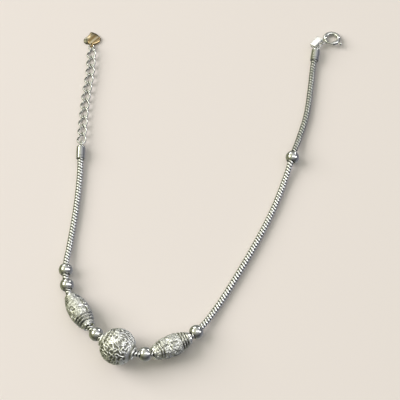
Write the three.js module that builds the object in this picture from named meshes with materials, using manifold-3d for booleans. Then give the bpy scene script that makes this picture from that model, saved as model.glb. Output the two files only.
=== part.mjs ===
// A bracelet of round snake chain, lying open on a flat surface. Beads are threaded on the chain, a curb-link
// extender with a heart tag hangs on one end, and a spring-ring clasp with a flat tag on the other.
// Millimetres, +Z up. The origin is on the surface, at the middle of the bracelet's footprint.

import * as THREE from 'three';
import { mergeVertices } from 'three/addons/utils/BufferGeometryUtils.js';
import Module from 'manifold-3d';

const wasm = await Module();
wasm.setup();

// ---- Driving dimensions ----

const CHAIN_RADIUS = 0.88;
const CHAIN_STEPS = 72;

const SPACER = { radius: 1.9, bore: 1.15, halfLength: 1.42 };
const OVAL = { radius: 2.9, shoulder: 1.75, bodyHalf: 4.95, halfLength: 5.45, neck: 1.65, neckLength: 0.45 };
const BALL = { radius: 4.85, rim: 3.1, halfLength: 4.8, neck: 1.75, neckLength: 0.5 };
const HOLLOW = { wall: 0.5, bore: 1.35 };

const CAP = { radius: 1.25, bore: 1.06, length: 4.1, depth: 3.5, round: 0.8, tip: 0.6 };
const LOOP = { radius: 0.82, wire: 0.21, rise: 0.62 };
const CHAIN_END_GAP = 0.3;

const LINK = { halfLength: 1.775, halfWidth: 1.2, wire: 0.25, count: 11 };
const LINK_GAP = 0.15;
const HOOK_ROLL = -Math.PI / 4;
const LINK_ROLL = -Math.PI / 9;
const TAG_RING = { radius: 0.87, wire: 0.21, roll: Math.PI / 6 };
const CLASP_LINK = { halfWidth: 0.85, wire: 0.23, roll: -Math.PI * 0.58, inset: 0.15 };

const HEART = { thickness: 0.6, edge: 0.18 };
const HEART_LOOP = { radius: 0.55, wire: 0.19 };
const PLATE = { length: 3.5, width: 2.2, thickness: 0.35, corner: 0.3, bail: 0.6, bailWire: 0.14 };

const RING = { radius: 2.05, tube: 0.575, bore: 0.37, gapStart: 228, gapEnd: 276 };
const EYE = { radius: 0.76, wire: 0.2, offset: 3.1, angle: 206 };
const SLOT = { start: 310, end: 381, width: 0.56, depth: 0.8 };
const BOLT = { wire: 0.25, tip: 222, tail: 332, nub: 318, stem: 0.17, stemEnd: 3.35, nubRadius: 0.4 };

// ---- The way the bracelet lies ----

// Points of the chain's centre line, from its end in the extender's cap to its end in the clasp's cap. It
// lies on the surface along both arms and climbs where the beads lift it.
const CHAIN_ROUTE = [
  [-36.0, 12.2, 1.44],
  [-36.0, 3.2, 0.94],
  [-36.6, -6.8, 0.92],
  [-37.7, -16.8, 0.96],
  [-38.5, -25.0, 1.86],
  [-37.3, -31.8, 2.1],
  [-34.0, -37.9, 3.1],
  [-29.2, -44.3, 4.3],
  [-23.2, -48.75, 5.5],
  [-16.2, -49.7, 4.4],
  [-9.0, -47.6, 3.1],
  [-2.6, -42.5, 1.95],
  [2.4, -35.9, 1.0],
  [8.1, -26.5, 0.92],
  [13.6, -16.6, 0.92],
  [18.4, -6.8, 0.92],
  [22.0, 2.4, 1.1],
  [24.3, 9.4, 1.95],
  [26.6, 16.0, 1.05],
  [29.0, 23.7, 0.92],
  [30.45, 32.2, 0.92],
  [31.35, 38.7, 1.02],
  [32.45, 44.8, 1.45],
];

// Points of the extender's centre line, after the loop of its cap.
const EXTENDER_ROUTE = [
  [-35.8, 22.2, 1.0],
  [-35.3, 30.2, 0.97],
  [-34.4, 38.7, 0.98],
  [-34.4, 49.2, 0.93],
];

// The beads and the distance of each one's middle along the chain.
const BEADS = [
  { name: 'spacer_bead_1', kind: 'spacer', at: 37.5 },
  { name: 'spacer_bead_2', kind: 'spacer', at: 42.0 },
  { name: 'oval_bead_1', kind: 'oval', at: 50.9 },
  { name: 'spacer_bead_3', kind: 'spacer', at: 59.3 },
  { name: 'large_bead', kind: 'ball', at: 66.4 },
  { name: 'spacer_bead_4', kind: 'spacer', at: 74.2 },
  { name: 'oval_bead_2', kind: 'oval', at: 81.75 },
  { name: 'spacer_bead_5', kind: 'spacer', at: 89.75 },
  { name: 'spacer_bead_6', kind: 'spacer', at: 148.9 },
];

// The middle of the spring ring. Its near side is raised by the tilt.
const RING_CENTRE = new THREE.Vector3(37.5, 49.6, 1.0);
const RING_TILT = THREE.MathUtils.degToRad(11);

// The flat tag at the clasp: how far its bail hangs from the wire of the cap's loop, outwards and up, the way
// its long side runs and rises, and how its face leans.
const BAIL_SHIFT = { out: 0.14, up: 0.1 };
const PLATE_HEADING = THREE.MathUtils.degToRad(47);
const PLATE_RISE = THREE.MathUtils.degToRad(5);
const PLATE_LEAN = THREE.MathUtils.degToRad(25);
// The place on the plate, from its near corner, of the bail under it.
const BAIL_SPOT = { x: 0.3, y: 1.0 };

const UP = new THREE.Vector3(0, 0, 1);
const AHEAD = new THREE.Vector3(0, 1, 0);

// ---- Solids ----

// The closed solid of a geometry: corners merged, and triangles that shrank to a line left out.
function solidOf(geometry) {
  const bare = geometry.clone();
  bare.deleteAttribute('normal');
  bare.deleteAttribute('uv');
  const merged = mergeVertices(bare, 1e-4);
  const corners = merged.index.array;
  const triangles = [];
  for (let i = 0; i < corners.length; i += 3) {
    const [a, b, c] = corners.slice(i, i + 3);
    if (a !== b && b !== c && c !== a) triangles.push(a, b, c);
  }
  return new wasm.Manifold(new wasm.Mesh({
    numProp: 3,
    vertProperties: new Float32Array(merged.attributes.position.array),
    triVerts: new Uint32Array(triangles),
  }));
}

function geometryOf(solid) {
  const mesh = solid.getMesh();
  const geometry = new THREE.BufferGeometry();
  geometry.setAttribute('position', new THREE.BufferAttribute(mesh.vertProperties, 3));
  geometry.setIndex(new THREE.BufferAttribute(mesh.triVerts, 1));
  geometry.computeVertexNormals();
  return geometry;
}

// Geometries soldered into one solid.
function soldered(...geometries) {
  return geometryOf(geometries.map(solidOf).reduce((whole, part) => whole.add(part)));
}

// A solid of revolution about Y from a closed profile of [radius, y], with a flat facet facing down.
function turned(profile, sides) {
  const points = profile.map(([radius, y]) => new THREE.Vector2(radius, y));
  return new THREE.LatheGeometry(points, sides, Math.PI / sides);
}

// The round section of a wire or tube, a polygon with a corner on each axis.
function roundSection(radius, sides) {
  const corners = [];
  for (let i = 0; i < sides; i += 1) {
    const angle = (2 * Math.PI * i) / sides;
    corners.push(new THREE.Vector2(radius * Math.cos(angle), radius * Math.sin(angle)));
  }
  return new THREE.Shape(corners);
}

function swept(section, path, steps) {
  return new THREE.ExtrudeGeometry(section, { steps, extrudePath: path, bevelEnabled: false });
}

// A ring of round wire in the XY plane.
function wireRing(radius, wire) {
  return new THREE.TorusGeometry(radius, wire, 6, 16);
}

// ---- Placing ----

function routeOf(points) {
  const route = new THREE.CatmullRomCurve3(points.map((p) => new THREE.Vector3(...p)), false, 'catmullrom', 0.5);
  route.arcLengthDivisions = 800;
  return route;
}

// A frame whose Y runs along a direction and whose Z leans up as far as that allows, turned by roll about Y.
function frameAlong(origin, direction, roll = 0) {
  const along = direction.clone().normalize();
  const across = new THREE.Vector3().crossVectors(along, UP).normalize();
  const above = new THREE.Vector3().crossVectors(across, along);
  const frame = new THREE.Matrix4().makeBasis(across, along, above);
  frame.multiply(new THREE.Matrix4().makeRotationY(roll));
  return frame.setPosition(origin);
}

function pointAt(route, distance) {
  return route.getPointAt(distance / route.getLength());
}

// The frame of a straight piece on a route: its two ends lie on it, at equal distances from its middle.
function frameOnRoute(route, distance, halfLength) {
  const start = pointAt(route, distance - halfLength);
  const end = pointAt(route, distance + halfLength);
  return frameAlong(start.clone().lerp(end, 0.5), end.clone().sub(start));
}

const bracelet = new THREE.Group();

function metal(color, roughness) {
  return new THREE.MeshStandardMaterial({ color, roughness, metalness: 1 });
}

function addPiece(name, geometry, material, frame) {
  const mesh = new THREE.Mesh(geometry, material);
  mesh.name = name;
  mesh.applyMatrix4(frame);
  bracelet.add(mesh);
}

// ---- Snake chain ----

const chainRoute = routeOf(CHAIN_ROUTE);

function snakeChain() {
  return swept(roundSection(CHAIN_RADIUS, 8), chainRoute, CHAIN_STEPS);
}

// ---- Beads ----

// Points of the half ellipse that is radius wide at y = 0 and endRadius wide at y = halfLength, as [radius, y].
function bulge(radius, endRadius, halfLength, steps) {
  const points = [];
  for (let i = 0; i <= steps; i += 1) {
    const y = 2 * i / steps - 1;
    const narrowing = (1 - (endRadius / radius) ** 2) * y ** 2;
    points.push([radius * Math.sqrt(1 - narrowing), y * halfLength]);
  }
  return points;
}

function spacerBead() {
  const { radius, bore, halfLength } = SPACER;
  const outline = bulge(radius, bore, halfLength, 8);
  return turned([...outline, outline[0]], 12);
}

// A hollow bead: a bulging body between two short necks, with a thin wall and a round hole at each end.
function hollowBead({ radius, halfLength, neck, neckLength }, endRadius, bodyHalf) {
  const { wall, bore } = HOLLOW;
  const neckStart = halfLength - neckLength;
  const profile = [
    [neck, -halfLength],
    [neck, -neckStart],
    ...bulge(radius, endRadius, bodyHalf, 10),
    [neck, neckStart],
    [neck, halfLength],
    [bore, halfLength],
    ...bulge(radius - wall, bore, bodyHalf - wall / 2, 8).reverse(),
    [bore, -halfLength],
    [neck, -halfLength],
  ];
  return turned(profile, 16);
}

function ovalBead() {
  return hollowBead(OVAL, OVAL.shoulder, OVAL.bodyHalf);
}

function largeBead() {
  return hollowBead(BALL, BALL.rim, Math.sqrt(BALL.radius ** 2 - BALL.rim ** 2));
}

const BEAD_KINDS = {
  spacer: { build: spacerBead, halfLength: SPACER.halfLength, material: metal('#c4c5c1', 0.1) },
  oval: { build: ovalBead, halfLength: OVAL.halfLength, material: metal('#b9bab3', 0.4) },
  ball: { build: largeBead, halfLength: BALL.halfLength, material: metal('#b4b5ad', 0.35) },
};

// ---- End caps ----

const CAP_LOOP_Y = CAP.length + LOOP.rise;

// A barrel whose blind bore takes the chain's end, with a loop soldered on its rounded top. The mouth is at
// y = 0 and the loop beyond y = CAP.length.
function endCap(loopRoll) {
  const steps = 4;
  const profile = [[0, CAP.depth], [CAP.bore, CAP.depth], [CAP.bore, 0], [CAP.radius, 0]];
  for (let i = 0; i <= steps; i += 1) {
    const angle = (Math.PI / 2) * (i / steps);
    profile.push([
      CAP.tip + (CAP.radius - CAP.tip) * Math.cos(angle),
      CAP.length - CAP.round * (1 - Math.sin(angle)),
    ]);
  }
  profile.push([0, CAP.length]);
  const loop = wireRing(LOOP.radius, LOOP.wire).translate(0, CAP_LOOP_Y, 0).rotateY(loopRoll);
  return soldered(turned(profile, 16), loop);
}

// The frame of a cap on one end of the chain, pointing away from the chain.
function capFrame(end, outward) {
  const mouth = end.clone().addScaledVector(outward, CHAIN_END_GAP - CAP.depth);
  return frameAlong(mouth, outward);
}

// ---- Curb links and rings ----

// The centre line of a link: an oval along Y in the XY plane, twisted about Y from -twist at its start to
// +twist at its end. Curb links twisted by HOOK_ROLL hook into each other and still lie flat. Here the whole
// extender is rolled by LINK_ROLL besides, onto its left side.
class LinkPath extends THREE.Curve {
  constructor(halfLength, halfWidth, twist) {
    super();
    this.halfLength = halfLength;
    this.halfWidth = halfWidth;
    this.twist = twist;
  }

  getPoint(t, target = new THREE.Vector3()) {
    const angle = 2 * Math.PI * t;
    const roll = this.twist * Math.cos(angle);
    const side = this.halfWidth * Math.sin(angle);
    return target.set(side * Math.cos(roll), this.halfLength * Math.cos(angle), -side * Math.sin(roll));
  }
}

// A wire that closes on itself.
function wireLoop(path, wire) {
  return new THREE.TubeGeometry(path, 22, wire, 6, true);
}

// ---- End tag ----

// The heart's outline lies as it is seen, turned so that its left lobe looks the smaller one: its cleft, then
// each curve's two handles and end.
const HEART_CLEFT = [-1.05, 1.2];
const HEART_CURVES = [
  [-0.8, 0.5, 0.7, 0.32, 1.6, 1.1],
  [2.25, 1.65, 2.5, 2.05, 2.4, 2.65],
  [2.0, 3.55, 0.7, 4.7, -0.5, 4.75],
  [-0.6, 3.8, -1.25, 3.2, -2.1, 2.55],
  [-2.5, 2.1, -2.35, 1.4, -1.95, 1.2],
  [-1.7, 1.0, -1.35, 1.05, -1.05, 1.2],
];

// A small heart, and a loop soldered at its bottom edge. The loop is centred on the origin at a height of its
// own, and the heart's point is towards +Y.
function heartTag(loopHeight) {
  const shape = new THREE.Shape();
  shape.moveTo(...HEART_CLEFT);
  for (const curve of HEART_CURVES) shape.bezierCurveTo(...curve);
  const plate = new THREE.ExtrudeGeometry(shape, {
    depth: HEART.thickness,
    curveSegments: 5,
    bevelSize: HEART.edge,
    bevelThickness: HEART.edge,
    bevelSegments: 1,
  });
  plate.translate(0, 0, HEART.edge);
  const loop = wireRing(HEART_LOOP.radius, HEART_LOOP.wire).rotateY(HOOK_ROLL).translate(0, 0, loopHeight);
  return soldered(plate, loop);
}

// ---- Flat tag at the clasp ----

// A plain rounded plate with a bail soldered under its near end. The bail is centred on the origin and rings a
// wire that runs along bailAxis.
function flatTag(bailAxis) {
  const { length, width, corner } = PLATE;
  const shape = new THREE.Shape();
  shape.moveTo(corner, 0);
  shape.lineTo(length - corner, 0);
  shape.quadraticCurveTo(length, 0, length, corner);
  shape.lineTo(length, width - corner);
  shape.quadraticCurveTo(length, width, length - corner, width);
  shape.lineTo(corner, width);
  shape.quadraticCurveTo(0, width, 0, width - corner);
  shape.lineTo(0, corner);
  shape.quadraticCurveTo(0, 0, corner, 0);
  const plate = new THREE.ExtrudeGeometry(shape, {
    depth: PLATE.thickness,
    curveSegments: 3,
    bevelEnabled: false,
  });
  plate.translate(-BAIL_SPOT.x, -BAIL_SPOT.y, 0);
  plate.rotateX(-PLATE_LEAN).rotateY(-PLATE_RISE).rotateZ(PLATE_HEADING);
  plate.translate(0, 0, PLATE.bail - PLATE.bailWire / 2);
  const bail = wireRing(PLATE.bail, PLATE.bailWire);
  bail.applyQuaternion(new THREE.Quaternion().setFromUnitVectors(UP, bailAxis));
  return soldered(plate, bail);
}

// ---- Spring ring ----

// An arc in the XY plane about the origin, between two angles in degrees.
class ArcPath extends THREE.Curve {
  constructor(radius, start, end) {
    super();
    this.radius = radius;
    this.start = THREE.MathUtils.degToRad(start);
    this.end = THREE.MathUtils.degToRad(end);
  }

  getPoint(t, target = new THREE.Vector3()) {
    const angle = this.start + (this.end - this.start) * t;
    return target.set(this.radius * Math.cos(angle), this.radius * Math.sin(angle), 0);
  }
}

// A point on the ring's plane, in polar form.
function polar(radius, degrees) {
  const angle = THREE.MathUtils.degToRad(degrees);
  return new THREE.Vector3(radius * Math.cos(angle), radius * Math.sin(angle), 0);
}

const EYE_CENTRE = polar(EYE.offset, EYE.angle);

// The hollow open ring: a tube around most of the circle, slotted outside for the bolt's stem, with an eye.
function springRing() {
  const start = RING.gapEnd;
  const end = RING.gapStart + 360;
  const past = 3;
  const tube = swept(roundSection(RING.tube, 10), new ArcPath(RING.radius, start, end), 32);
  const bore = swept(roundSection(RING.bore, 10), new ArcPath(RING.radius, start - past, end + past), 34);
  const across = SLOT.width / 2;
  const into = SLOT.depth / 2;
  const slotSection = new THREE.Shape([
    new THREE.Vector2(-across, -into),
    new THREE.Vector2(across, -into),
    new THREE.Vector2(across, into),
    new THREE.Vector2(-across, into),
  ]);
  const slot = swept(slotSection, new ArcPath(RING.radius + RING.tube, SLOT.start, SLOT.end), 8);
  const eye = wireRing(EYE.radius, EYE.wire).translate(...EYE_CENTRE);
  return geometryOf(solidOf(tube).add(solidOf(eye)).subtract(solidOf(bore)).subtract(solidOf(slot)));
}

// The bolt: a curved rod inside the tube, across the gap, with a stem and nub for the thumb.
function claspBolt() {
  const rod = swept(roundSection(BOLT.wire, 8), new ArcPath(RING.radius, BOLT.tip, BOLT.tail), 14);
  const stemLength = BOLT.stemEnd - RING.radius;
  const stem = new THREE.CylinderGeometry(BOLT.stem, BOLT.stem, stemLength, 8);
  const nub = new THREE.SphereGeometry(BOLT.nubRadius, 10, 8);
  stem.translate(0, RING.radius + stemLength / 2, 0);
  nub.translate(0, BOLT.stemEnd, 0);
  const turn = THREE.MathUtils.degToRad(BOLT.nub - 90);
  stem.rotateZ(turn);
  nub.rotateZ(turn);
  return soldered(rod, stem, nub);
}

// ---- Assembly ----

const POLISHED = metal('#c4c5c1', 0.12);
const CHAIN_METAL = metal('#b0b1ac', 0.25);
const WARM = metal('#a98d63', 0.25);
const STILL = new THREE.Matrix4();

addPiece('snake_chain', snakeChain(), CHAIN_METAL, STILL);

for (const { name, kind, at } of BEADS) {
  const { build, halfLength, material } = BEAD_KINDS[kind];
  addPiece(name, build(), material.clone(), frameOnRoute(chainRoute, at, halfLength));
}

const extenderEnd = chainRoute.getPoint(0);
const extenderOutward = chainRoute.getTangent(0).negate();
const extenderCapFrame = capFrame(extenderEnd, extenderOutward);
addPiece('extender_cap', endCap(HOOK_ROLL + LINK_ROLL), POLISHED.clone(), extenderCapFrame);

const claspEnd = chainRoute.getPoint(1);
const claspOutward = chainRoute.getTangent(1);
const claspCapFrame = capFrame(claspEnd, claspOutward);
addPiece('clasp_cap', endCap(0), POLISHED.clone(), claspCapFrame);

// The first link runs through the middle of the cap's loop, and each next one hooks into the one before.
const loopOnExtender = new THREE.Vector3(0, CAP_LOOP_Y, 0).applyMatrix4(extenderCapFrame);
const extenderRoute = routeOf([loopOnExtender.toArray(), ...EXTENDER_ROUTE]);
const linkPath = new LinkPath(LINK.halfLength, LINK.halfWidth, HOOK_ROLL);
const pitch = 2 * (LINK.halfLength - LINK.wire) - LINK_GAP;
for (let i = 0; i < LINK.count; i += 1) {
  const name = `extender_link_${String(i + 1).padStart(2, '0')}`;
  const frame = frameOnRoute(extenderRoute, LINK.halfLength + i * pitch, LINK.halfLength);
  frame.multiply(new THREE.Matrix4().makeRotationY(LINK_ROLL));
  addPiece(name, wireLoop(linkPath, LINK.wire), POLISHED.clone(), frame);
}

const lastLinkEnd = 2 * LINK.halfLength + (LINK.count - 1) * pitch;
const ringMiddle = lastLinkEnd - LINK.wire - TAG_RING.wire - LINK_GAP + TAG_RING.radius;
const tagRingFrame = frameOnRoute(extenderRoute, ringMiddle, TAG_RING.radius);
tagRingFrame.multiply(new THREE.Matrix4().makeRotationY(TAG_RING.roll));
addPiece('tag_ring', wireRing(TAG_RING.radius, TAG_RING.wire), POLISHED.clone(), tagRingFrame);

const heartLoop = pointAt(extenderRoute, ringMiddle + TAG_RING.radius);
const heartFrame = frameAlong(new THREE.Vector3(heartLoop.x, heartLoop.y, 0), AHEAD);
addPiece('end_tag', heartTag(heartLoop.z), WARM, heartFrame);

const ringFrame = new THREE.Matrix4().makeRotationX(-RING_TILT).setPosition(RING_CENTRE);
addPiece('spring_ring', springRing(), POLISHED.clone(), ringFrame);
addPiece('clasp_bolt', claspBolt(), POLISHED.clone(), ringFrame);

// The clasp's link runs from the far half of the cap's loop to the middle of the ring's eye.
const loopOnClasp = new THREE.Vector3(0, CAP_LOOP_Y, 0).applyMatrix4(claspCapFrame);
const eye = EYE_CENTRE.clone().applyMatrix4(ringFrame);
const towardsEye = eye.clone().sub(loopOnClasp).normalize();
const claspLinkStart = loopOnClasp.clone().addScaledVector(towardsEye, CLASP_LINK.inset);
const claspLinkPath = new LinkPath(claspLinkStart.distanceTo(eye) / 2, CLASP_LINK.halfWidth, 0);
const claspLinkFrame = frameAlong(claspLinkStart.clone().lerp(eye, 0.5), towardsEye, CLASP_LINK.roll);
addPiece('clasp_link', wireLoop(claspLinkPath, CLASP_LINK.wire), POLISHED.clone(), claspLinkFrame);

// The flat tag's bail rings the left wire of the same loop.
const bailPoint = new THREE.Vector3(-LOOP.radius - BAIL_SHIFT.out, CAP_LOOP_Y, BAIL_SHIFT.up);
bailPoint.applyMatrix4(claspCapFrame);
addPiece('clasp_tag', flatTag(claspOutward), POLISHED.clone(), new THREE.Matrix4().makeTranslation(bailPoint));

export default bracelet;
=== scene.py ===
"""A snake-chain bracelet with worked and polished beads, lying open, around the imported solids."""

import math
import random

import bmesh
import bpy
from mathutils import Matrix, Vector, noise


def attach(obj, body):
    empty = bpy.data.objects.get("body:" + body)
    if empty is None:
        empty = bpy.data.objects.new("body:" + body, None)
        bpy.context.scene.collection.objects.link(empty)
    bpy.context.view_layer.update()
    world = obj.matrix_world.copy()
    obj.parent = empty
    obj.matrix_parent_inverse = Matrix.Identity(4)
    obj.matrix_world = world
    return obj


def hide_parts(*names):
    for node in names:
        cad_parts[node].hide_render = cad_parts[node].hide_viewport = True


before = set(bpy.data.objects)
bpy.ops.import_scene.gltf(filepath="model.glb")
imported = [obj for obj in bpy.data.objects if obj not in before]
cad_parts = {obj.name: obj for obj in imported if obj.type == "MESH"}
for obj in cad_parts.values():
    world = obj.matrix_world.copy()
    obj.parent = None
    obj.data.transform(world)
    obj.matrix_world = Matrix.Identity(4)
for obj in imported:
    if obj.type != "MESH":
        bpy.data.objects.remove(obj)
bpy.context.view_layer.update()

MM = 0.001
UP = Vector((0, 0, 1))

# ---- Sizes of the pieces, in millimetres ----

SPACER = {"radius": 1.9, "bore": 1.15, "half": 1.42, "edge": 0.06}
OVAL = {"radius": 2.9, "shoulder": 1.75, "body": 4.95, "half": 5.45, "neck": 1.65,
        "neck_length": 0.45}
BALL = {"radius": 4.85, "rim": 3.1, "half": 4.8, "neck": 1.75, "neck_length": 0.5}
HOLLOW = {"wall": 0.5, "bore": 1.35, "edge": 0.05}
CAP = {"radius": 1.25, "bore": 1.06, "length": 4.1, "depth": 3.5, "round": 0.8, "tip": 0.6,
       "loop_y": 4.72, "edge": 0.05}
LOOP = {"radius": 0.82, "wire": 0.21}
CHAIN_END_GAP = 0.3
LINK = {"half_length": 1.775, "half_width": 1.2, "wire": 0.25, "count": 11, "gap": 0.15}
TAG_RING = {"radius": 0.87, "wire": 0.21, "roll": math.pi / 6}
CLASP_LINK = {"half_width": 0.85, "wire": 0.23, "roll": -math.pi * 0.58, "inset": 0.15}
HOOK_ROLL = -math.pi / 4
LINK_ROLL = -math.pi / 9
HEART_LOOP = {"radius": 0.55, "wire": 0.19}
PLATE = {"length": 3.5, "width": 2.2, "thickness": 0.35, "corner": 0.3, "edge": 0.07,
         "bail": 0.6, "bail_wire": 0.14}
BAIL_SHIFT = {"out": 0.14, "up": 0.1}
BAIL_SPOT = {"x": 0.3, "y": 1.0}
PLATE_HEADING = math.radians(47)
PLATE_RISE = math.radians(5)
PLATE_LEAN = math.radians(25)
RING = {"radius": 2.05, "tube": 0.575, "bore": 0.37, "gap_start": 228, "gap_end": 276}
EYE = {"radius": 0.76, "wire": 0.2, "offset": 3.1, "angle": 206}
SLOT = {"start": 310, "end": 381, "width": 0.56, "depth": 0.8}
BOLT = {"wire": 0.25, "tip": 222, "tail": 332, "nub": 318, "stem": 0.17, "stem_end": 3.35,
        "nub_radius": 0.4}
RING_CENTRE = Vector((37.5, 49.6, 1.0))
RING_TILT = math.radians(11)

# ---- The way the bracelet lies, as the solids do ----

CHAIN_ROUTE = (
    (-36.0, 12.2, 1.44), (-36.0, 3.2, 0.94), (-36.6, -6.8, 0.92), (-37.7, -16.8, 0.96),
    (-38.5, -25.0, 1.86), (-37.3, -31.8, 2.1), (-34.0, -37.9, 3.1), (-29.2, -44.3, 4.3),
    (-23.2, -48.75, 5.5), (-16.2, -49.7, 4.4), (-9.0, -47.6, 3.1), (-2.6, -42.5, 1.95),
    (2.4, -35.9, 1.0), (8.1, -26.5, 0.92), (13.6, -16.6, 0.92), (18.4, -6.8, 0.92),
    (22.0, 2.4, 1.1), (24.3, 9.4, 1.95), (26.6, 16.0, 1.05), (29.0, 23.7, 0.92),
    (30.45, 32.2, 0.92), (31.35, 38.7, 1.02), (32.45, 44.8, 1.45),
)
EXTENDER_ROUTE = ((-35.8, 22.2, 1.0), (-35.3, 30.2, 0.97), (-34.4, 38.7, 0.98), (-34.4, 49.2, 0.93))


class Route:
    """A uniform Catmull-Rom curve through points in millimetres, walked by its length."""

    def __init__(self, points, samples=60):
        points = [Vector(point) for point in points]
        before = 2 * points[0] - points[1]
        after = 2 * points[-1] - points[-2]
        knots = [before, *points, after]
        self.points = [points[0]]
        for p0, p1, p2, p3 in zip(knots, knots[1:], knots[2:], knots[3:]):
            start, end = (p2 - p0) / 2, (p3 - p1) / 2
            for i in range(1, samples + 1):
                t = i / samples
                bend = ((2 * p1 - 2 * p2 + start + end) * t**3
                        + (3 * p2 - 3 * p1 - 2 * start - end) * t**2)
                self.points.append(bend + start * t + p1)
        self.lengths = [0.0]
        for a, b in zip(self.points, self.points[1:]):
            self.lengths.append(self.lengths[-1] + (b - a).length)
        self.length = self.lengths[-1]

    def at(self, distance):
        low, high = 0, len(self.lengths) - 1
        while high - low > 1:
            middle = (low + high) // 2
            if self.lengths[middle] <= distance:
                low = middle
            else:
                high = middle
        share = (distance - self.lengths[low]) / (self.lengths[high] - self.lengths[low])
        return self.points[low].lerp(self.points[high], share)


def frame_along(origin, direction, roll=0.0):
    """A frame in millimetres whose Y runs along a direction and whose Z leans up, then rolled."""
    along = direction.normalized()
    across = along.cross(UP).normalized()
    above = across.cross(along)
    turn = Matrix((across, along, above)).transposed().to_4x4()
    return Matrix.Translation(origin) @ turn @ Matrix.Rotation(roll, 4, "Y")


def frame_on(route, distance, half):
    """The frame of a straight piece whose two ends lie on the route."""
    start, end = route.at(distance - half), route.at(distance + half)
    return frame_along(start.lerp(end, 0.5), end - start)


# ---- Camera, lights and floor ----

TARGET = Vector((-2.0, -3.8, 1.0)) * MM
CAMERA_ELEVATION = math.radians(65)
CAMERA_DISTANCE = 320 * MM
VIEW_HALF_WIDTH = 56 * MM


def look(thing, target, across=Vector((1, 0, 0))):
    """Turns a lamp or camera towards a target, with its width as near to across as that allows."""
    back = (thing.location - target).normalized()
    above = back.cross(across).normalized()
    thing.rotation_euler = Matrix((above.cross(back), above, back)).transposed().to_euler()


def add_camera():
    lens = bpy.data.cameras.new("camera")
    lens.lens = lens.sensor_width / 2 * CAMERA_DISTANCE / VIEW_HALF_WIDTH
    lens.clip_start = 0.01
    camera = bpy.data.objects.new("camera", lens)
    back = Vector((0, -math.cos(CAMERA_ELEVATION), math.sin(CAMERA_ELEVATION)))
    camera.location = TARGET + back * CAMERA_DISTANCE
    look(camera, TARGET)
    bpy.context.collection.objects.link(camera)
    bpy.context.scene.camera = camera


def add_light(name, place, size, energy, color, seen_by, across=Vector((1, 0, 0))):
    """A rectangular lamp at a place in metres that faces the bracelet.

    It is mirrored by the "metal" or lights the "floor", as seen_by says.
    """
    lamp = bpy.data.lights.new(name, "AREA")
    lamp.shape = "RECTANGLE"
    lamp.size, lamp.size_y = size
    lamp.energy = energy
    lamp.color = color
    light = bpy.data.objects.new(name, lamp)
    light.location = place
    look(light, Vector((0, 0, 0)), across)
    light.visible_camera = False
    light.visible_diffuse = seen_by != "metal"
    light.visible_glossy = seen_by != "floor"
    bpy.context.collection.objects.link(light)


def linear(hex_color):
    """The linear colour of an sRGB hex value."""
    channels = [int(hex_color[i:i + 2], 16) / 255 for i in (1, 3, 5)]
    return [c / 12.92 if c <= 0.04045 else ((c + 0.055) / 1.055) ** 2.4 for c in channels]


def node(tree, kind, inputs=None, **settings):
    """Adds a node to a tree. Inputs are values, or sockets to link from."""
    made = tree.nodes.new(kind)
    for key, value in settings.items():
        setattr(made, key, value)
    for key, value in (inputs or {}).items():
        if isinstance(value, bpy.types.NodeSocket):
            tree.links.new(value, made.inputs[key])
        else:
            made.inputs[key].default_value = value
    return made


def ramp(made, stops):
    """Sets a colour ramp's stops, as (position, hex colour) or (position, grey)."""
    elements = made.color_ramp.elements
    while len(elements) < len(stops):
        elements.new(0.5)
    for element, (position, value) in zip(elements, stops):
        element.position = position
        rgb = linear(value) if isinstance(value, str) else [value] * 3
        element.color = (*rgb, 1)
    return made


def light_room():
    """A dim room that the metal mirrors: olive on the left, violet grey on the right."""
    world = bpy.data.worlds.new("room")
    bpy.context.scene.world = world
    world.use_nodes = True
    tree = world.node_tree
    tree.nodes.clear()
    direction = node(tree, "ShaderNodeTexCoord").outputs["Generated"]
    parts = node(tree, "ShaderNodeSeparateXYZ", {0: direction})
    height = node(tree, "ShaderNodeMapRange",
                  {"Value": parts.outputs["Z"], "From Min": -1.0, "From Max": 1.0})
    walls = ramp(node(tree, "ShaderNodeValToRGB", {"Fac": height.outputs[0]}),
                 [(0.0, 0.44), (0.4, 0.34), (0.5, 0.16), (0.65, 0.36), (0.83, 0.62), (1.0, 0.82)])
    front = node(tree, "ShaderNodeMapRange",
                 {"Value": parts.outputs["Y"], "From Min": -0.9, "From Max": -0.2, "To Min": 0.45,
                  "To Max": 1.0}, interpolation_type="SMOOTHSTEP")
    side = node(tree, "ShaderNodeMapRange",
                {"Value": parts.outputs["X"], "From Min": -0.8, "From Max": 0.8})
    tint = ramp(node(tree, "ShaderNodeValToRGB", {"Fac": side.outputs[0]}),
                [(0.0, "#F0F1C8"), (0.5, "#F2F4EE"), (1.0, "#D6D7E5")])
    color = node(tree, "ShaderNodeMix", {0: 1.0, 6: walls.outputs[0], 7: tint.outputs[0]},
                 data_type="RGBA", blend_type="MULTIPLY")
    background = node(tree, "ShaderNodeBackground",
                      {"Color": color.outputs[2], "Strength": front.outputs[0]})
    node(tree, "ShaderNodeOutputWorld", {"Surface": background.outputs[0]})


def add_floor():
    form = bmesh.new()
    bmesh.ops.create_grid(form, x_segments=1, y_segments=1, size=1.5)
    mesh = bpy.data.meshes.new("floor")
    form.to_mesh(mesh)
    form.free()
    paper = bpy.data.materials.new("matt_paper")
    paper.use_nodes = True
    surface = paper.node_tree.nodes["Principled BSDF"]
    surface.inputs["Base Color"].default_value = (*linear("#F1EAE2"), 1)
    surface.inputs["Roughness"].default_value = 0.9
    surface.inputs["Specular IOR Level"].default_value = 0.1
    mesh.materials.append(paper)
    floor = bpy.data.objects.new("floor", mesh)
    floor.location.z = -0.03 * MM
    floor.visible_glossy = False
    bpy.context.collection.objects.link(floor)


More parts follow.
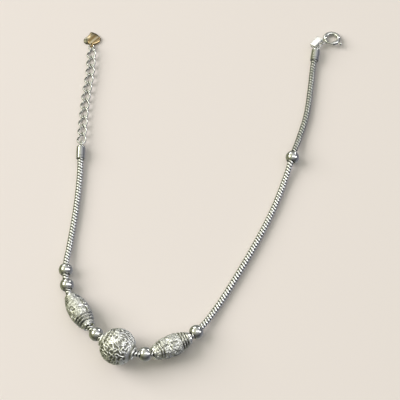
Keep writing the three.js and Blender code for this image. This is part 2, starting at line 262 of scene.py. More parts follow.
add_camera()
bpy.context.scene.view_settings.view_transform = "Standard"
light_room()
add_floor()
add_light("window", (-0.75, 0.12, 0.62), (0.7, 0.4), 2.6, linear("#FFFFF2"), seen_by="metal",
          across=Vector((0, 1, 0)))
add_light("ceiling_tube", (0.62, -0.12, 0.80), (1.7, 0.24), 5.0, linear("#FFFFFF"), seen_by="metal")
add_light("back_window", (-0.42, 0.86, 0.42), (0.5, 0.5), 2.0, linear("#FFFFFF"), seen_by="metal")
add_light("far_lamp", (0.75, 0.95, 0.28), (0.14, 0.14), 1.5, linear("#FFFFFF"), seen_by="metal")
add_light("side_lamp", (-1.9, 0.5, 1.3), (1.7, 1.7), 53.5, linear("#FFFAFE"), seen_by="floor")

# ---- Metals ----


def new_metal(name, color, roughness):
    """A metal in its plain colour and roughness. A finish may put patterns in their place."""
    material = bpy.data.materials.new(name)
    material.use_nodes = True
    surface = material.node_tree.nodes["Principled BSDF"]
    surface.inputs["Base Color"].default_value = (*linear(color), 1)
    surface.inputs["Metallic"].default_value = 1.0
    surface.inputs["Roughness"].default_value = roughness
    return material, material.node_tree, surface


def per_mm(size):
    """The scale of a pattern, on metres, whose features are this many millimetres across."""
    return 1 / (size * MM)


def polished_silver():
    """Sterling silver, buffed by hand: a mirror with faint ripples and hairline wear."""
    material, tree, surface = new_metal("polished_silver", "#DCDCD6", 0.1)
    place = node(tree, "ShaderNodeTexCoord").outputs["Object"]
    wear = node(tree, "ShaderNodeTexNoise", {"Vector": place, "Scale": per_mm(0.5), "Detail": 3.0})
    gloss = node(tree, "ShaderNodeMapRange",
                 {"Value": wear.outputs["Fac"], "From Min": 0.3, "From Max": 0.7, "To Min": 0.07,
                  "To Max": 0.16})
    tree.links.new(gloss.outputs[0], surface.inputs["Roughness"])
    ripple = node(tree, "ShaderNodeTexNoise", {"Vector": place, "Scale": per_mm(1.2), "Detail": 1.0})
    bump = node(tree, "ShaderNodeBump",
                {"Height": ripple.outputs["Fac"], "Strength": 0.08, "Distance": 0.05 * MM})
    tree.links.new(bump.outputs[0], surface.inputs["Normal"])
    return material


def woven_silver():
    """Silver strip bent into a chain: painted highlights on the crests, painted shade in the hollows,
    and painted shade over the stretch by the clasp.
    """
    material, tree, surface = new_metal("woven_silver", "#E6E6DF", 0.18)
    place = node(tree, "ShaderNodeTexCoord").outputs["Object"]
    crest = node(tree, "ShaderNodeAttribute", attribute_name="crest").outputs["Fac"]
    # Painted highlight on each rib's crest and painted shade in the hollows between ribs.
    bright = ramp(node(tree, "ShaderNodeValToRGB", {"Fac": crest}),
                  [(0.0, "#66665F"), (0.5, "#CCCCC4"), (0.85, "#FFFFFC")])
    # A darker copy of the ramp: painted shade over the stretch by the clasp.
    painted_clasp_shade_ramp = ramp(node(tree, "ShaderNodeValToRGB", {"Fac": crest}),
                     [(0.0, "#2E2E29"), (0.5, "#8E8E88"), (0.85, "#D2D2CC")])
    painted_clasp_shade = node(tree, "ShaderNodeAttribute", attribute_name="painted_clasp_shade").outputs["Fac"]
    tone = node(tree, "ShaderNodeMix", {0: painted_clasp_shade, 6: bright.outputs[0], 7: painted_clasp_shade_ramp.outputs[0]},
                data_type="RGBA")
    tree.links.new(tone.outputs[2], surface.inputs["Base Color"])
    grain = node(tree, "ShaderNodeTexNoise", {"Vector": place, "Scale": per_mm(0.35), "Detail": 2.0})
    gloss = node(tree, "ShaderNodeMapRange",
                 {"Value": grain.outputs["Fac"], "From Min": 0.3, "From Max": 0.7, "To Min": 0.28,
                  "To Max": 0.34})
    tree.links.new(gloss.outputs[0], surface.inputs["Roughness"])
    return material


def frosted_silver():
    """Silver stippled with a diamond point, so that it sparkles, with bright cuts and some oxide.

    The glints are painted highlights, random light and dark spots in the colour, drawn coarser than
    real facets so that they are seen.
    """
    material, tree, surface = new_metal("frosted_silver", "#DCDCD4", 0.3)
    place = node(tree, "ShaderNodeTexCoord").outputs["Object"]
    cut = node(tree, "ShaderNodeAttribute", attribute_name="cut").outputs["Fac"]
    oxide = node(tree, "ShaderNodeAttribute", attribute_name="oxide").outputs["Fac"]
    # Random light and dark spots in the colour are painted glints.
    glint = node(tree, "ShaderNodeTexNoise", {"Vector": place, "Scale": per_mm(0.46), "Detail": 1.0})
    painted_glints = ramp(node(tree, "ShaderNodeValToRGB", {"Fac": glint.outputs["Fac"]}),
                  [(0.38, "#AEAEA5"), (0.5, "#E2E2DA"), (0.62, "#FAFAF4")])
    bright = node(tree, "ShaderNodeMix",
                  {0: cut, 6: painted_glints.outputs[0], 7: (*linear("#ECECE4"), 1)}, data_type="RGBA")
    color = node(tree, "ShaderNodeMix",
                 {0: oxide, 6: bright.outputs[2], 7: (*linear("#4A4940"), 1)}, data_type="RGBA")
    tree.links.new(color.outputs[2], surface.inputs["Base Color"])
    stipple = node(tree, "ShaderNodeTexNoise", {"Vector": place, "Scale": per_mm(0.16), "Detail": 2.0})
    strength = node(tree, "ShaderNodeMapRange", {"Value": cut, "To Min": 0.9, "To Max": 0.0})
    bump = node(tree, "ShaderNodeBump",
                {"Height": stipple.outputs["Fac"], "Strength": strength.outputs[0],
                 "Distance": 0.12 * MM})
    tree.links.new(bump.outputs[0], surface.inputs["Normal"])
    gloss = node(tree, "ShaderNodeMapRange", {"Value": cut, "To Min": 0.42, "To Max": 0.09})
    tree.links.new(gloss.outputs[0], surface.inputs["Roughness"])
    return material


def nugget_silver():
    """Cast silver with a nugget grain: painted highlight on the ridges and painted shade in the
    hollows.
    """
    material, tree, surface = new_metal("nugget_silver", "#D6D6CC", 0.2)
    place = node(tree, "ShaderNodeTexCoord").outputs["Object"]
    height = node(tree, "ShaderNodeAttribute", attribute_name="ridge").outputs["Fac"]
    # Painted shade in the hollows and painted highlight on the ridges.
    color = ramp(node(tree, "ShaderNodeValToRGB", {"Fac": height}),
                 [(0.0, "#8A897E"), (0.35, "#D2D2C8"), (0.7, "#FFFFFA")])
    tree.links.new(color.outputs[0], surface.inputs["Base Color"])
    gloss = node(tree, "ShaderNodeMapRange", {"Value": height, "To Min": 0.5, "To Max": 0.38})
    tree.links.new(gloss.outputs[0], surface.inputs["Roughness"])
    grain = node(tree, "ShaderNodeTexNoise", {"Vector": place, "Scale": per_mm(0.2), "Detail": 1.0})
    bump = node(tree, "ShaderNodeBump",
                {"Height": grain.outputs["Fac"], "Strength": 0.3, "Distance": 0.05 * MM})
    tree.links.new(bump.outputs[0], surface.inputs["Normal"])
    return material


def satin_silver():
    """Silver rubbed to a satin face, which spreads the light of the window over the whole tag."""
    return new_metal("satin_silver", "#F4F4F0", 0.45)[0]


def gilt_brass():
    """Brass with thin gilding: grey on the left lobe, darker at the tip, with painted highlights in
    pale slanting streaks.
    """
    material, tree, surface = new_metal("gilt_brass", "#BFA273", 0.26)
    place = node(tree, "ShaderNodeTexCoord").outputs["Object"]
    parts = node(tree, "ShaderNodeSeparateXYZ", {0: place})
    patch = node(tree, "ShaderNodeTexNoise", {"Vector": place, "Scale": per_mm(2.0), "Detail": 2.0})
    across = node(tree, "ShaderNodeMath",
                  {0: patch.outputs["Fac"], 1: 1.2 * MM, 2: parts.outputs["X"]},
                  operation="MULTIPLY_ADD")
    right_of_grey_lobe = node(tree, "ShaderNodeMapRange",
                  {"Value": across.outputs[0], "From Min": -35.4 * MM, "From Max": -34.6 * MM})
    # Painted highlights: pale streaks slanting across the heart.
    slant = node(tree, "ShaderNodeMath", {0: parts.outputs["X"], 1: parts.outputs["Y"]},
                 operation="SUBTRACT")
    highlight_streaks = node(tree, "ShaderNodeTexNoise",
                  {"W": slant.outputs[0], "Scale": per_mm(1.1), "Detail": 1.0},
                  noise_dimensions="1D")
    pale = ramp(node(tree, "ShaderNodeValToRGB", {"Fac": highlight_streaks.outputs["Fac"]}),
                [(0.38, "#A68B60"), (0.52, "#BEA57A"), (0.66, "#E1D1B2")])
    tip = node(tree, "ShaderNodeMapRange",
               {"Value": parts.outputs["Y"], "From Min": 50.2 * MM, "From Max": 51.4 * MM})
    face = node(tree, "ShaderNodeMix",
                {0: tip.outputs[0], 6: pale.outputs[0], 7: (*linear("#8C8065"), 1)},
                data_type="RGBA")
    whole = node(tree, "ShaderNodeMix",
                 {0: right_of_grey_lobe.outputs[0], 6: (*linear("#8E8A78"), 1), 7: face.outputs[2]},
                 data_type="RGBA")
    tree.links.new(whole.outputs[2], surface.inputs["Base Color"])
    return material


POLISHED = polished_silver()
WOVEN = woven_silver()
FROSTED = frosted_silver()
NUGGET = nugget_silver()
SATIN = satin_silver()
GILT = gilt_brass()

# ---- Making pieces ----


def finish_piece(name, form, place, material, nodes, body="bracelet", sharp=40):
    """Makes a form in millimetres a piece in metres, in its place, that stands for CAD nodes."""
    form.transform(Matrix.Scale(MM, 4) @ place)
    mesh = bpy.data.meshes.new(name)
    form.to_mesh(mesh)
    form.free()
    mesh.materials.append(material)
    mesh.shade_smooth()
    mesh.set_sharp_from_angle(angle=math.radians(sharp))
    piece = bpy.data.objects.new(name, mesh)
    bpy.context.collection.objects.link(piece)
    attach(piece, body)
    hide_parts(*nodes)


def outward(form):
    bmesh.ops.remove_doubles(form, verts=form.verts, dist=1e-4)
    bmesh.ops.recalc_face_normals(form, faces=form.faces)
    return form


def turned(profile, sides):
    """A body of revolution about Y from a profile of (radius, y)."""
    form = bmesh.new()
    corners = [form.verts.new((radius, y, 0)) for radius, y in profile]
    edges = [form.edges.new(pair) for pair in zip(corners, corners[1:])]
    bmesh.ops.spin(form, geom=corners + edges, cent=(0, 0, 0), axis=(0, 1, 0),
                   angle=2 * math.pi, steps=sides, use_merge=True)
    return outward(form)


def wire_ring(radius, wire, sides=14, steps=48):
    """A ring of round wire in the XY plane."""
    form = bmesh.new()
    turn = Matrix.Translation((radius, 0, 0)) @ Matrix.Rotation(math.pi / 2, 4, "X")
    bmesh.ops.create_circle(form, segments=sides, radius=wire, matrix=turn)
    bmesh.ops.spin(form, geom=form.verts[:] + form.edges[:], cent=(0, 0, 0), axis=(0, 0, 1),
                   angle=2 * math.pi, steps=steps, use_merge=True)
    return outward(form)


def arc_tube(radius, sections, start, end, steps, sides=20):
    """A tube along an arc in degrees in the XY plane: solid from one section, hollow from two."""
    form = bmesh.new()
    for section in sections:
        turn = Matrix.Translation((radius, 0, 0)) @ Matrix.Rotation(math.pi / 2, 4, "X")
        bmesh.ops.create_circle(form, segments=sides, radius=section, matrix=turn)
    bmesh.ops.rotate(form, verts=form.verts, matrix=Matrix.Rotation(math.radians(start), 3, "Z"))
    bmesh.ops.spin(form, geom=form.verts[:] + form.edges[:], cent=(0, 0, 0), axis=(0, 0, 1),
                   angle=math.radians(end - start), steps=steps)
    rims = [edge for edge in form.edges if edge.is_boundary]
    if len(sections) == 1:
        bmesh.ops.holes_fill(form, edges=rims)
    else:
        rims.sort(key=lambda edge: edge.calc_length())
        inside = {vert for edge in rims[:2 * sides] for vert in edge.verts}
        for edge in rims[2 * sides:]:
            facing = [min(inside, key=lambda other: (other.co - vert.co).length)
                      for vert in edge.verts]
            form.faces.new((*edge.verts, *reversed(facing)))
    return outward(form)


def combined(operation, *forms):
    """Solids soldered together (UNION), or the first with the others cut out of it (DIFFERENCE)."""
    objects = []
    for form in forms:
        mesh = bpy.data.meshes.new("blank")
        form.to_mesh(mesh)
        form.free()
        blank = bpy.data.objects.new("blank", mesh)
        bpy.context.collection.objects.link(blank)
        objects.append(blank)
    for other in objects[1:]:
        cut = objects[0].modifiers.new("cut", "BOOLEAN")
        cut.operation = operation
        cut.object = other
        cut.solver = "EXACT"
    whole = objects[0].evaluated_get(bpy.context.evaluated_depsgraph_get())
    result = bmesh.new()
    result.from_mesh(whole.to_mesh())
    for blank in objects:
        mesh = blank.data
        bpy.data.objects.remove(blank)
        bpy.data.meshes.remove(mesh)
    return result


def wire_along(points, wire):
    """A closed loop of round wire through points."""
    curve = bpy.data.curves.new("wire", "CURVE")
    curve.dimensions = "3D"
    curve.bevel_depth = wire
    curve.bevel_resolution = 5
    spline = curve.splines.new("POLY")
    spline.points.add(len(points) - 1)
    for knot, point in zip(spline.points, points):
        knot.co = (*point, 1)
    spline.use_cyclic_u = True
    blank = bpy.data.objects.new("wire", curve)
    bpy.context.collection.objects.link(blank)
    form = bmesh.new()
    form.from_mesh(blank.evaluated_get(bpy.context.evaluated_depsgraph_get()).to_mesh())
    bpy.data.objects.remove(blank)
    bpy.data.curves.remove(curve)
    return outward(form)


def arc(radius, start, end, steps):
    """Points of an arc about the middle of a profile, as (radius, y), from start to end degrees."""
    points = []
    for i in range(steps + 1):
        angle = math.radians(start + (end - start) * i / steps)
        points.append((radius * math.cos(angle), radius * math.sin(angle)))
    return points


# ---- Snake chain ----

chain = Route(CHAIN_ROUTE)
# The turns are drawn coarser than real ones, so that each is seen.
RIB = {"pitch": 0.88, "half": 0.44, "slant": -0.26, "hollow": 0.66, "crest": 0.86}
RIB_SECTION = ((0.5, -0.44), (0.62, -0.44), (0.64, -0.31), (0.8, -0.28), (0.865, -0.16),
               (0.885, 0), (0.865, 0.16), (0.8, 0.28), (0.64, 0.31), (0.62, 0.44), (0.5, 0.44))
# Where the bead next to the clasp sits along the chain. Past it the chain is painted darker, as
# painted shade.
LAST_BEAD = 148.9


def snake_chain():
    """Hundreds of bent strips, each a closed rib with a wavy edge that nests in the next."""
    rib = bmesh.new()
    corners = [rib.verts.new((radius, y, 0)) for radius, y in RIB_SECTION]
    edges = [rib.edges.new(pair) for pair in zip(corners, corners[1:] + corners[:1])]
    bmesh.ops.spin(rib, geom=corners + edges, cent=(0, 0, 0), axis=(0, 1, 0),
                   angle=2 * math.pi, steps=16, use_merge=True)
    outward(rib)
    rib.verts.layers.float.new("painted_clasp_shade")
    crest_layer = rib.verts.layers.float.new("crest")
    for vert in rib.verts:
        rise = (math.hypot(vert.co.x, vert.co.z) - RIB["hollow"]) / (RIB["crest"] - RIB["hollow"])
        vert[crest_layer] = min(1.0, max(0.0, rise))
        vert.co.y += RIB["slant"] * math.sin(2 * math.atan2(vert.co.x, vert.co.z))
    one = bpy.data.meshes.new("rib")
    rib.to_mesh(one)
    rib.free()
    form = bmesh.new()
    count = int((chain.length - 2 * RIB["half"]) / RIB["pitch"])
    for i in range(count + 1):
        start = len(form.verts)
        form.from_mesh(one)
        form.verts.ensure_lookup_table()
        distance = RIB["half"] + i * RIB["pitch"]
        bmesh.ops.transform(form, matrix=frame_on(chain, distance, RIB["half"]),
                            verts=form.verts[start:])
        # The stretch past the last bead takes the darker colours: painted shade.
        painted_clasp_shade_layer = form.verts.layers.float["painted_clasp_shade"]
        for vert in form.verts[start:]:
            vert[painted_clasp_shade_layer] = 1.0 if distance > LAST_BEAD else 0.0
    bpy.data.meshes.remove(one)
    finish_piece("snake_chain_ribs", form, Matrix(), WOVEN, ["snake_chain"],
                 sharp=50)


snake_chain()

# ---- Beads ----


def spacer_bead(name, at):
    """A polished round bead with a softened bore."""
    radius, bore, half, edge = SPACER["radius"], SPACER["bore"], SPACER["half"], SPACER["edge"]
    limit = math.degrees(math.asin(half / radius)) - 2
    profile = arc(radius, -limit, limit, 30)
    profile += [(bore + edge, half), (bore, half - edge), (bore, -half + edge),
                (bore + edge, -half), profile[0]]
    form = turned(profile, 56)
    finish_piece(name.replace("bead", "polished"), form, frame_on(chain, at, half), POLISHED,
                 [name])


def bulge(radius, end_radius, half, steps):
    """The outline of half an ellipse, end_radius wide at its ends."""
    points = []
    for i in range(steps + 1):
        y = 2 * i / steps - 1
        points.append((radius * math.sqrt(1 - (1 - (end_radius / radius) ** 2) * y * y), y * half))
    return points


def hollow_profile(size, end_radius, body, steps):
    """The closed outline of a hollow bead: neck, body, neck, and the bore and inner wall back."""
    neck, half, start = size["neck"], size["half"], size["half"] - size["neck_length"]
    bore, wall, edge = HOLLOW["bore"], HOLLOW["wall"], HOLLOW["edge"]
    outer = bulge(size["radius"], end_radius, body, steps)
    inner = bulge(size["radius"] - wall, bore, body - wall / 2, 12)
    return [(neck, -half + edge), (neck, -start), *outer, (neck, start), (neck, half - edge),
            (neck - edge, half), (bore + edge, half), (bore, half - edge), *inner[::-1],
            (bore, -half + edge), (bore + edge, -half), (neck - edge, -half),
            (neck, -half + edge)]


# Each petal of the starburst: heading in degrees, length, width.
STAR_PETALS = ((0, 2.5, 0.6), (45, 1.3, 0.5), (90, 1.9, 0.8), (135, 1.3, 0.5),
               (180, 2.2, 0.55), (225, 1.3, 0.5), (270, 1.9, 0.8), (315, 1.3, 0.5))
PETAL_DEPTH = 0.32
PETAL_OXIDE = 0.65
# The share of bright cut, and of oxide, for each millimetre of a groove's depth.
GROOVE_CUT, GROOVE_OXIDE = 8, 2.4
# The bumps of the frosted skin, coarse and fine: height, breadth.
FROST = ((0.17, 0.42), (0.05, 0.2))


def petal_depth(along, around):
    """The depth of a starburst of gouged petals at a place, and how much oxide it holds.

    Only the petals that lie along the bead hold any.
    """
    deepest, oxide = 0.0, 0.0
    for heading, length, width in STAR_PETALS:
        angle = math.radians(heading)
        forward = along * math.cos(angle) + around * math.sin(angle)
        aside = -along * math.sin(angle) + around * math.cos(angle)
        way = (forward - length / 2) / (length / 2)
        if abs(way) >= 1:
            continue
        half_width = width / 2 * (1 - way * way) ** 0.7
        if abs(aside) < half_width:
            depth = PETAL_DEPTH * (1 - way * way) * (1 - abs(aside) / half_width)
            if depth > deepest:
                deepest, oxide = depth, PETAL_OXIDE if heading % 180 == 0 else 0.0
    return deepest, oxide


def groove_depth(y, grooves):
    """The depth at y of the deepest of some turned grooves, each (middle, half width, depth)."""
    deepest = 0.0
    for middle, half_width, depth in grooves:
        if abs(y - middle) < half_width:
            deepest = max(deepest, depth * (1 - abs(y - middle) / half_width))
    return deepest


def oval_bead(name, at, star_turn, star_y, grooves):
    """A frosted oval bead with turned grooves near its ends and four starbursts round it."""
    body, outermost, shoulder = OVAL["body"], OVAL["radius"], OVAL["shoulder"]
    form = turned(hollow_profile(OVAL, shoulder, body, 150), 208)
    cut_layer = form.verts.layers.float.new("cut")
    oxide_layer = form.verts.layers.float.new("oxide")
    for vert in form.verts:
        x, y, z = vert.co
        radius = math.hypot(x, z)
        if abs(y) > body:
            vert[cut_layer] = 1.0
            continue
        share = 1 - (1 - (shoulder / outermost) ** 2) * (y / body) ** 2
        surface = outermost * math.sqrt(share)
        if radius < surface - HOLLOW["wall"] / 4:
            vert[cut_layer] = 1.0
            continue
        turn = math.atan2(x, z) - math.radians(star_turn)
        turn = (turn + math.pi / 4) % (math.pi / 2) - math.pi / 4
        petal, oxide = petal_depth(y - star_y, turn * radius)
        groove = groove_depth(y, grooves)
        frost = 0.0
        if petal == 0 and groove == 0:
            frost = sum(height * noise.noise(vert.co / breadth) for height, breadth in FROST)
        vert[cut_layer] = 1.0 if petal > 0 else min(1.0, groove * GROOVE_CUT)
        vert[oxide_layer] = max(oxide, groove * GROOVE_OXIDE)
        scale = (radius - petal - groove + frost) / radius
        vert.co.x, vert.co.z = x * scale, z * scale
    finish_piece(name + "_frosted", form, frame_on(chain, at, OVAL["half"]), FROSTED,
                 [name], sharp=60)


# Waves of one length in random directions are summed. Where the sum is near nought stands a ridge,
# so that the ridges wind and join as on a nugget casting.
MAZE = {"pitch": 1.25, "depth": 0.17, "waves": 26, "width": 0.66, "fade": 0.12}
# Smooth metal, on the scale from hollow (0) to ridge (1).
PLAIN_RIDGE = 0.9


def maze_waves():
    """The waves, each as (vector, phase)."""
    chance = random.Random(11)
    waves = []
    for _ in range(MAZE["waves"]):
        way = Vector((chance.gauss(0, 1), chance.gauss(0, 1), chance.gauss(0, 1))).normalized()
        waves.append((way * (2 * math.pi / MAZE["pitch"]), chance.uniform(0, 2 * math.pi)))
    return waves


def large_bead(name, at):
    """A large ball with a nugget grain, cut off at both ends, with a painted shade line at each
    collar's foot.
    """
    outermost = BALL["radius"]
    body = math.sqrt(outermost ** 2 - BALL["rim"] ** 2)
    form = turned(hollow_profile(BALL, BALL["rim"], body, 190), 320)
    ridge_layer = form.verts.layers.float.new("ridge")
    waves = maze_waves()
    for vert in form.verts:
        direction = vert.co.normalized()
        if abs(vert.co.y) > body - 1e-3 or vert.co.length < outermost - HOLLOW["wall"] / 2:
            # The foot of each collar takes the darkest colour: a painted shade line.
            collar_foot = abs(abs(vert.co.y) - BALL["half"] + BALL["neck_length"]) < 1e-3
            vert[ridge_layer] = 0.0 if collar_foot else PLAIN_RIDGE
            continue
        place = direction * outermost
        field = sum(math.cos(way.dot(place) + phase) for way, phase in waves)
        field /= math.sqrt(len(waves) / 2)
        height = math.exp(-(field / MAZE["width"]) ** 2)
        fade = min(1.0, (body - abs(vert.co.y)) / MAZE["fade"])
        vert[ridge_layer] = height * fade + PLAIN_RIDGE * (1 - fade)
        vert.co = direction * (outermost - MAZE["depth"] * (1 - height) * fade)
    finish_piece(name + "_nugget", form, frame_on(chain, at, BALL["half"]), NUGGET,
                 [name], sharp=60)


END_GROOVES = ((2.6, 0.3, 0.36), (3.4, 0.3, 0.36), (4.2, 0.3, 0.34))

spacer_bead("spacer_bead_1", 37.5)
spacer_bead("spacer_bead_2", 42.0)
oval_bead("oval_bead_1", 50.9, -38, 0.1,
          ((-4.3, 0.26, 0.2), (-3.65, 0.26, 0.2), (-3.0, 0.26, 0.2), *END_GROOVES))
spacer_bead("spacer_bead_3", 59.3)
large_bead("large_bead", 66.4)
spacer_bead("spacer_bead_4", 74.2)
oval_bead("oval_bead_2", 81.75, 5, -1.0, ((-3.7, 0.26, 0.24), (-3.0, 0.26, 0.24), *END_GROOVES))
spacer_bead("spacer_bead_5", 89.75)
spacer_bead("spacer_bead_6", LAST_BEAD)

# ---- End caps ----


def cap_line(radius):
    """The turned line near a cap's mouth. Doubled rows beside a bend keep it crisp."""
    groove = radius - 0.08
    return [(radius, 0.09), (radius, 0.48), (radius, 0.52), (groove, 0.6), (groove, 0.72),
            (radius, 0.8), (radius, 0.84), (radius, 1.0)]


def end_cap(name, end, outward_way, loop_roll):
    """A polished barrel with a turned line at its mouth, a rounded top and a soldered loop."""
    radius, bore, length, edge = CAP["radius"], CAP["bore"], CAP["length"], CAP["edge"]
    profile = [(0, CAP["depth"]), (bore, CAP["depth"]), (bore, edge), (bore + edge, 0),
               (radius - edge, 0), (radius, edge), *cap_line(radius),
               (radius, length - CAP["round"] - 0.06)]
    for i in range(13):
        angle = math.pi / 2 * i / 12
        profile.append((CAP["tip"] + (radius - CAP["tip"]) * math.cos(angle),
                        length - CAP["round"] * (1 - math.sin(angle))))
    profile.append((0, length))
    loop = wire_ring(LOOP["radius"], LOOP["wire"])
    loop.transform(Matrix.Rotation(loop_roll, 4, "Y") @ Matrix.Translation((0, CAP["loop_y"], 0)))
    form = combined("UNION", turned(profile, 64), loop)
    mouth = end + outward_way * (CHAIN_END_GAP - CAP["depth"])
    place = frame_along(mouth, outward_way)
    finish_piece(name + "_polished", form, place, POLISHED, [name])
    return place


def way_out(end, just_inside):
    """The direction in which the chain leaves one of its ends."""
    return (chain.at(end) - chain.at(just_inside)).normalized()


SHORT_STEP = 0.02
extender_way = way_out(0, SHORT_STEP)
clasp_way = way_out(chain.length, chain.length - SHORT_STEP)
extender_cap = end_cap("extender_cap", chain.at(0), extender_way, HOOK_ROLL + LINK_ROLL)
clasp_cap = end_cap("clasp_cap", chain.at(chain.length), clasp_way, 0.0)

# ---- Links and rings ----


def link_point(half_length, half_width, twist, share):
    """A point of a link's centre line, an oval along Y that is twisted about Y."""
    angle = 2 * math.pi * share
    roll = twist * math.cos(angle)
    side = half_width * math.sin(angle)
    return Vector((side * math.cos(roll), half_length * math.cos(angle), -side * math.sin(roll)))


def link(half_length, half_width, twist, wire):
    """A soldered link of round wire."""
    points = [link_point(half_length, half_width, twist, i / 56) for i in range(56)]
    return wire_along(points, wire)


extender = Route([extender_cap @ Vector((0, CAP["loop_y"], 0)), *EXTENDER_ROUTE])
link_pitch = 2 * (LINK["half_length"] - LINK["wire"]) - LINK["gap"]
for i in range(LINK["count"]):
    form = link(LINK["half_length"], LINK["half_width"], HOOK_ROLL, LINK["wire"])
    place = frame_on(extender, LINK["half_length"] + i * link_pitch, LINK["half_length"])
    place = place @ Matrix.Rotation(LINK_ROLL, 4, "Y")
    finish_piece(f"curb_link_{i + 1:02d}", form, place, POLISHED,
                 [f"extender_link_{i + 1:02d}"])

links_end = 2 * LINK["half_length"] + (LINK["count"] - 1) * link_pitch
ring_middle = links_end - LINK["wire"] - TAG_RING["wire"] - LINK["gap"] + TAG_RING["radius"]
tag_ring_place = frame_on(extender, ring_middle, TAG_RING["radius"])
finish_piece("tag_ring_polished", wire_ring(TAG_RING["radius"], TAG_RING["wire"]),
             tag_ring_place @ Matrix.Rotation(TAG_RING["roll"], 4, "Y"), POLISHED,
             ["tag_ring"])

# ---- Heart tag ----


def bezier(a, b, c, d, steps):
    """Points of a cubic curve after its first."""
    points = []
    for i in range(1, steps + 1):
        t = i / steps
        s = 1 - t
        points.append(a * s**3 + b * 3 * s * s * t + c * 3 * s * t * t + d * t**3)
    return points


# The outline leans, and its left lobe is the smaller one: the cleft, then each curve's two handles
# and end.
HEART_CLEFT = (-1.05, 1.2)
HEART_CURVES = (
    ((-0.8, 0.5), (0.7, 0.32), (1.6, 1.1)), ((2.25, 1.65), (2.5, 2.05), (2.4, 2.65)),
    ((2.0, 3.55), (0.7, 4.7), (-0.5, 4.75)), ((-0.6, 3.8), (-1.25, 3.2), (-2.1, 2.55)),
    ((-2.5, 2.1), (-2.35, 1.4), (-1.95, 1.2)), ((-1.7, 1.0), (-1.35, 1.05), (-1.05, 1.2)),
)
HEART_EDGE = 0.18


def heart_outline(steps):
    """The heart's curves, widened by its rolled edge."""
    points = [Vector((*HEART_CLEFT, 0))]
    for curve in HEART_CURVES:
        points += bezier(points[-1], *(Vector((*point, 0)) for point in curve), steps)
    points.pop()
    widened = []
    for before, point, after in zip([points[-1], *points], points, [*points[1:], points[0]]):
        out = (point - before).normalized() + (after - point).normalized()
        out = Vector((out.y, -out.x, 0)).normalized()
        widened.append(point + out * HEART_EDGE)
    return widened


HEART_MIDDLE = Vector((-0.3, 2.3, 0))
# The puffed shape, from its flat back over the rolled edge: share of the outline, height.
HEART_RISE = ((0.95, 0.0), (0.985, 0.04), (1.0, 0.16), (1.0, 0.42), (0.98, 0.56), (0.94, 0.66),
              (0.86, 0.76), (0.72, 0.84), (0.5, 0.91), (0.25, 0.95))
HEART_TOP = 0.96


def heart_tag():
    """A puffed heart with a rolled edge and a flat back."""
    form = bmesh.new()
    outline = heart_outline(14)
    rings = []
    for share, height in HEART_RISE:
        rings.append([form.verts.new(HEART_MIDDLE.lerp(point, share) + UP * height)
                      for point in outline])
    for low, high in zip(rings, rings[1:]):
        for i in range(len(outline)):
            form.faces.new((low[i - 1], low[i], high[i], high[i - 1]))
    top = form.verts.new(HEART_MIDDLE + UP * HEART_TOP)
    for i in range(len(outline)):
        form.faces.new((rings[-1][i - 1], rings[-1][i], top))
    form.faces.new(rings[0])
    return outward(form)


heart_loop = extender.at(ring_middle + TAG_RING["radius"])
tag_loop = wire_ring(HEART_LOOP["radius"], HEART_LOOP["wire"])
tag_loop.transform(Matrix.Translation((0, 0, heart_loop.z)) @ Matrix.Rotation(HOOK_ROLL, 4, "Y"))
heart_place = frame_along(Vector((heart_loop.x, heart_loop.y, 0)), Vector((0, 1, 0)))
finish_piece("heart_tag_gilt", combined("UNION", heart_tag(), tag_loop), heart_place, GILT,
             ["end_tag"])

# ---- Spring ring ----


def polar(radius, degrees):
    angle = math.radians(degrees)
    return Vector((radius * math.cos(angle), radius * math.sin(angle), 0))


ring_place = Matrix.Translation(RING_CENTRE) @ Matrix.Rotation(-RING_TILT, 4, "X")


def spring_ring():
    """A hollow open ring of tube, slotted outside for the trigger, with a soldered eye."""
    tube = arc_tube(RING["radius"], (RING["tube"], RING["bore"]), RING["gap_end"],
                    RING["gap_start"] + 360, 72)
    eye = wire_ring(EYE["radius"], EYE["wire"])
    eye.transform(Matrix.Translation(polar(EYE["offset"], EYE["angle"])))
    slot = bmesh.new()
    bmesh.ops.create_circle(slot, segments=4, radius=math.sqrt(0.5),
                            matrix=Matrix.Rotation(math.pi / 4, 4, "Z"))
    outside = (Matrix.Translation((RING["radius"] + RING["tube"], 0, 0))
               @ Matrix.Rotation(math.pi / 2, 4, "X"))
    section = Matrix.Diagonal((SLOT["depth"], SLOT["width"], 1, 1))
    bmesh.ops.transform(slot, verts=slot.verts, matrix=outside @ section)
    start = Matrix.Rotation(math.radians(SLOT["start"]), 3, "Z")
    bmesh.ops.rotate(slot, verts=slot.verts, matrix=start)
    bmesh.ops.spin(slot, geom=slot.verts[:] + slot.edges[:], cent=(0, 0, 0), axis=(0, 0, 1),
                   angle=math.radians(SLOT["end"] - SLOT["start"]), steps=24)
    bmesh.ops.holes_fill(slot, edges=[edge for edge in slot.edges if edge.is_boundary])
    whole = combined("UNION", tube, eye)
    return combined("DIFFERENCE", whole, outward(slot))


def clasp_bolt():
    """A curved rod across the ring's gap, with a stem and a round nub for the thumb."""
    rod = arc_tube(RING["radius"], (BOLT["wire"],), BOLT["tip"], BOLT["tail"], 36)
    length = BOLT["stem_end"] - RING["radius"]
    turn = Matrix.Rotation(math.radians(BOLT["nub"]), 4, "Z")
    middle = turn @ Matrix.Translation((RING["radius"] + length / 2, 0, 0))
    stem = bmesh.new()
    bmesh.ops.create_cone(stem, cap_ends=True, segments=20, radius1=BOLT["stem"],
                          radius2=BOLT["stem"], depth=length,
                          matrix=middle @ Matrix.Rotation(math.pi / 2, 4, "Y"))
    nub = bmesh.new()
    bmesh.ops.create_uvsphere(nub, u_segments=28, v_segments=18, radius=BOLT["nub_radius"],
                              matrix=turn @ Matrix.Translation((BOLT["stem_end"], 0, 0)))
    return combined("UNION", rod, stem, nub)


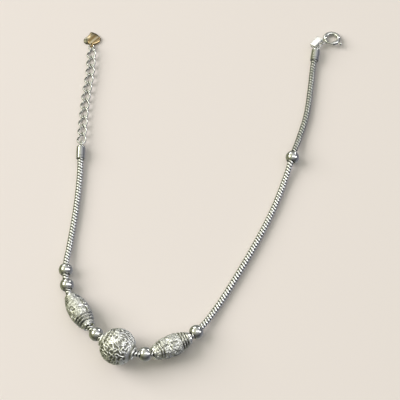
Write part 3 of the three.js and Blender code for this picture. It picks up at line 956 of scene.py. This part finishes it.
finish_piece("spring_ring_polished", spring_ring(), ring_place, POLISHED,
             ["spring_ring"])
finish_piece("clasp_bolt_polished", clasp_bolt(), ring_place, POLISHED,
             ["clasp_bolt"], body="bolt")

# ---- Clasp link and flat tag ----

clasp_loop = clasp_cap @ Vector((0, CAP["loop_y"], 0))
eye_centre = ring_place @ polar(EYE["offset"], EYE["angle"])
towards_eye = (eye_centre - clasp_loop).normalized()
link_start = clasp_loop + towards_eye * CLASP_LINK["inset"]
clasp_link = link((eye_centre - link_start).length / 2, CLASP_LINK["half_width"], 0.0,
                  CLASP_LINK["wire"])
finish_piece("clasp_link_polished", clasp_link,
             frame_along(link_start.lerp(eye_centre, 0.5), towards_eye, CLASP_LINK["roll"]),
             POLISHED, ["clasp_link"])


def flat_tag(bail_axis):
    """A plain rounded plate with softened edges and a bail soldered under its corner."""
    length, width, corner = PLATE["length"], PLATE["width"], PLATE["corner"]
    plate = bmesh.new()
    bmesh.ops.create_cube(plate, size=1.0,
                          matrix=Matrix.Diagonal((length, width, PLATE["thickness"], 1)))
    uprights = [e for e in plate.edges if abs(e.verts[0].co.z - e.verts[1].co.z) > 0.1]
    bmesh.ops.bevel(plate, geom=uprights, offset=corner, segments=6, profile=0.5,
                    affect="EDGES", material=-1)
    rims = [e for e in plate.edges if abs(e.verts[0].co.z - e.verts[1].co.z) < 0.01]
    rims = [e for e in rims if len({round(f.normal.z) for f in e.link_faces}) == 2]
    bmesh.ops.bevel(plate, geom=rims, offset=PLATE["edge"], segments=2, profile=0.5,
                    affect="EDGES", material=-1)
    lift = PLATE["bail"] - PLATE["bail_wire"] / 2
    turn = (Matrix.Rotation(PLATE_HEADING, 4, "Z") @ Matrix.Rotation(-PLATE_RISE, 4, "Y")
            @ Matrix.Rotation(-PLATE_LEAN, 4, "X"))
    shift = Vector((length / 2 - BAIL_SPOT["x"], width / 2 - BAIL_SPOT["y"],
                    PLATE["thickness"] / 2))
    plate.transform(Matrix.Translation((0, 0, lift)) @ turn @ Matrix.Translation(shift))
    bail = wire_ring(PLATE["bail"], PLATE["bail_wire"])
    bail.transform(UP.rotation_difference(bail_axis).to_matrix().to_4x4())
    return combined("UNION", plate, bail)


bail_point = clasp_cap @ Vector((-LOOP["radius"] - BAIL_SHIFT["out"], CAP["loop_y"],
                                 BAIL_SHIFT["up"]))
finish_piece("flat_tag_satin", flat_tag(clasp_way), Matrix.Translation(bail_point), SATIN,
             ["clasp_tag"])
